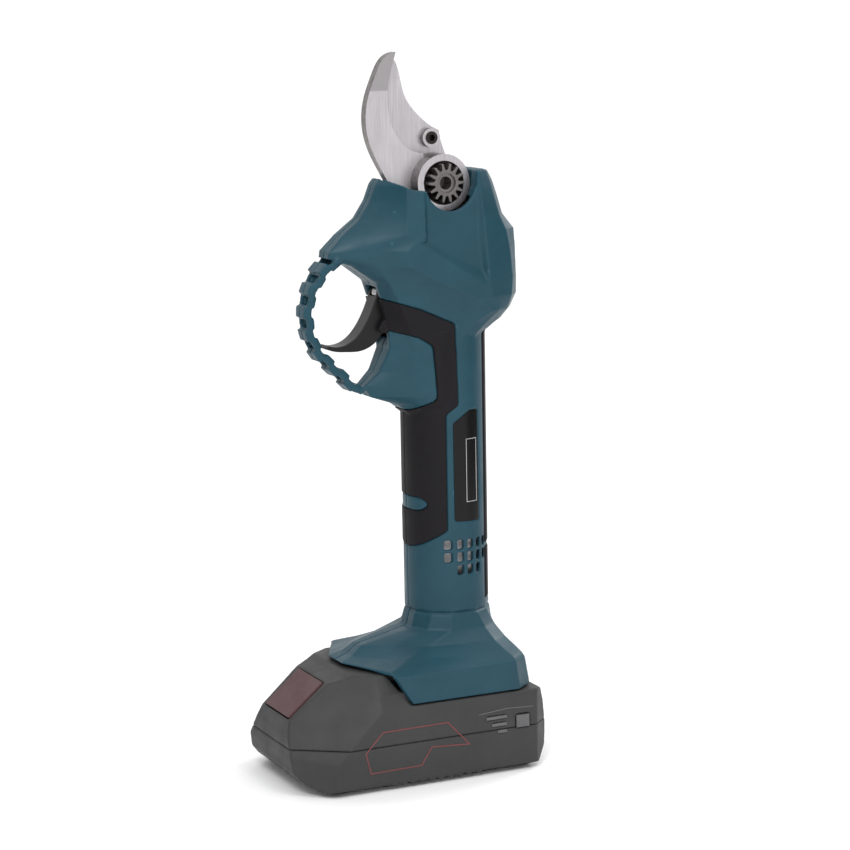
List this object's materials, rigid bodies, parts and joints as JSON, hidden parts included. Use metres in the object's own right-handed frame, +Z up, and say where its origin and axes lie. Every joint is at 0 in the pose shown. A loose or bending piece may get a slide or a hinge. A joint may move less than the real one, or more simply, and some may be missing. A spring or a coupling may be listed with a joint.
{
  "type": "battery electric pruner",
  "caption": "Hand-held battery pruning shear with a fixed hook blade, a driven curved blade, a ribbed finger guard, a soft-grip handle and a slide-on battery.",
  "frame": {"origin": "on the battery's underside, below the handle's centre line", "axes": "+Z up along the handle, +X from the trigger to the back of the hand, the blade nut faces -Y"},
  "size_m": [0.1266, 0.0783, 0.331],
  "materials": {
    "casing_plastic": "moulded, fine grain",
    "soft_grip": "matt overmould",
    "label": "satin plate",
    "blade_steel": "ground",
    "dark_steel": "blackened",
    "screw_steel": "zinc",
    "nut_steel": "cast, grey",
    "gear_steel": "cut",
    "bronze": "sintered",
    "cast_alloy": "die cast",
    "magnet": "dark",
    "black_plastic": "moulded",
    "board": "lacquered",
    "copper": "plated",
    "lead": "insulated",
    "battery_plastic": "moulded grey",
    "button_plastic": "dark red",
    "cell": "sleeved",
    "led": "clear"
  },
  "bodies": {
    "tool": {"casing_near": "casing_plastic", "casing_far": "casing_plastic", "grip_near": "soft_grip", "grip_far": "soft_grip", "rear_grip": "soft_grip", "labels": "label", "casing_screws": "screw_steel", "fixed_blade": "blade_steel", "pivot_bolt": "nut_steel", "pivot_nut": "nut_steel", "nut_washer": "dark_steel", "nut_lock_screw": "dark_steel", "ring_gear": "gear_steel", "gearbox_cover": "cast_alloy", "blade_mount_screws": "dark_steel", "bearings": "gear_steel", "motor_plate": "cast_alloy", "motor_can": "gear_steel", "motor_magnets": "magnet", "motor_end_cap": "black_plastic", "trigger_pin": "gear_steel", "trigger_spring": "gear_steel", "trigger_sensor": "board", "controller_board": "board", "heat_sink": "cast_alloy", "board_parts": "black_plastic", "motor_leads": "lead", "battery_leads": "lead", "terminal_block": "black_plastic", "blade_contacts": "copper"},
    "cutter": {"moving_blade": "blade_steel", "blade_screw": "dark_steel", "pivot_bush": "bronze", "sector_gear": "gear_steel", "sector_pins": "gear_steel"},
    "output": {"bevel_pinion": "gear_steel", "carrier_2": "gear_steel"},
    "first_carrier": {"carrier_1": "gear_steel"},
    "rotor": {"motor_rotor": "copper", "motor_shaft": "gear_steel", "sun_gear": "gear_steel"},
    "trigger": {"trigger": "black_plastic", "trigger_boot": "soft_grip"},
    "battery": {"battery_lower_case": "battery_plastic", "battery_upper_case": "battery_plastic", "battery_screws": "dark_steel", "button_spring": "gear_steel", "battery_cells": "cell", "cell_holder": "black_plastic", "battery_board": "board", "battery_clips": "copper", "led_windows": "led"},
    "release": {"release_button": "button_plastic"},
    "gauge": {"gauge_button": "button_plastic"},
    "planet_1_1": {"planet_1_1": "gear_steel"},
    "planet_1_2": {"planet_1_2": "gear_steel"},
    "planet_1_3": {"planet_1_3": "gear_steel"},
    "planet_2_1": {"planet_2_1": "gear_steel"},
    "planet_2_2": {"planet_2_2": "gear_steel"},
    "planet_2_3": {"planet_2_3": "gear_steel"}
  },
  "joints": [
    {"name": "blade_swing", "type": "hinge", "parent": "tool", "child": "cutter", "pos_m": [-0.0034, 0, 0.272], "axis": [0, 1, 0], "range_deg": [0, 45]},
    {"name": "output_spin", "type": "hinge", "parent": "tool", "child": "output", "pos_m": [-0.0034, 0, 0.24], "axis": [0, 0, 1], "range_deg": [-1, 145]},
    {"name": "carrier_spin", "type": "hinge", "parent": "tool", "child": "first_carrier", "pos_m": [-0.0034, 0, 0.226], "axis": [0, 0, 1], "range_deg": [-1, 649]},
    {"name": "rotor_spin", "type": "hinge", "parent": "tool", "child": "rotor", "pos_m": [-0.0034, 0, 0.2], "axis": [0, 0, 1], "range_deg": [-1, 2917]},
    {"name": "trigger_pull", "type": "hinge", "parent": "tool", "child": "trigger", "pos_m": [-0.0304, 0, 0.2224], "axis": [0, -1, 0], "range_deg": [0, 12], "stiffness_Nm_per_rad": 0.15, "springref_deg": -8.59},
    {"name": "battery_slide", "type": "slide", "parent": "tool", "child": "battery", "axis": [-1, 0, 0], "range_m": [0, 0.075]},
    {"name": "release_press", "type": "slide", "parent": "battery", "child": "release", "axis": [0.6386, 0, -0.7696], "range_m": [0, 0.0026], "stiffness_N_per_m": 400, "springref_m": -0.002, "deforming": ["button_spring"]},
    {"name": "gauge_press", "type": "slide", "parent": "battery", "child": "gauge", "axis": [0, 1, 0], "range_m": [0, 0.0008], "stiffness_N_per_m": 500, "springref_m": -0.001},
    {"name": "planet_1_1_spin", "type": "hinge", "parent": "first_carrier", "child": "planet_1_1", "pos_m": [0.0047, 0, 0.222], "axis": [0, 0, 1], "range_deg": [-1815.4, 1]},
    {"name": "planet_1_2_spin", "type": "hinge", "parent": "first_carrier", "child": "planet_1_2", "pos_m": [-0.00745, 0.00701, 0.222], "axis": [0, 0, 1], "range_deg": [-1815.4, 1]},
    {"name": "planet_1_3_spin", "type": "hinge", "parent": "first_carrier", "child": "planet_1_3", "pos_m": [-0.00745, -0.00701, 0.222], "axis": [0, 0, 1], "range_deg": [-1815.4, 1]},
    {"name": "planet_2_1_spin", "type": "hinge", "parent": "output", "child": "planet_2_1", "pos_m": [0.0047, 0, 0.232], "axis": [0, 0, 1], "range_deg": [-404.2, 1]},
    {"name": "planet_2_2_spin", "type": "hinge", "parent": "output", "child": "planet_2_2", "pos_m": [-0.00745, 0.00701, 0.232], "axis": [0, 0, 1], "range_deg": [-404.2, 1]},
    {"name": "planet_2_3_spin", "type": "hinge", "parent": "output", "child": "planet_2_3", "pos_m": [-0.00745, -0.00701, 0.232], "axis": [0, 0, 1], "range_deg": [-404.2, 1]}
  ],
  "couplings": [
    {"joint": "output_spin", "follows": "blade_swing", "ratio": 3.2},
    {"joint": "carrier_spin", "follows": "blade_swing", "ratio": 14.4},
    {"joint": "rotor_spin", "follows": "blade_swing", "ratio": 64.8},
    {"joint": "planet_1_1_spin", "follows": "blade_swing", "ratio": -40.32},
    {"joint": "planet_1_2_spin", "follows": "blade_swing", "ratio": -40.32},
    {"joint": "planet_1_3_spin", "follows": "blade_swing", "ratio": -40.32},
    {"joint": "planet_2_1_spin", "follows": "blade_swing", "ratio": -8.96},
    {"joint": "planet_2_2_spin", "follows": "blade_swing", "ratio": -8.96},
    {"joint": "planet_2_3_spin", "follows": "blade_swing", "ratio": -8.96}
  ]
}
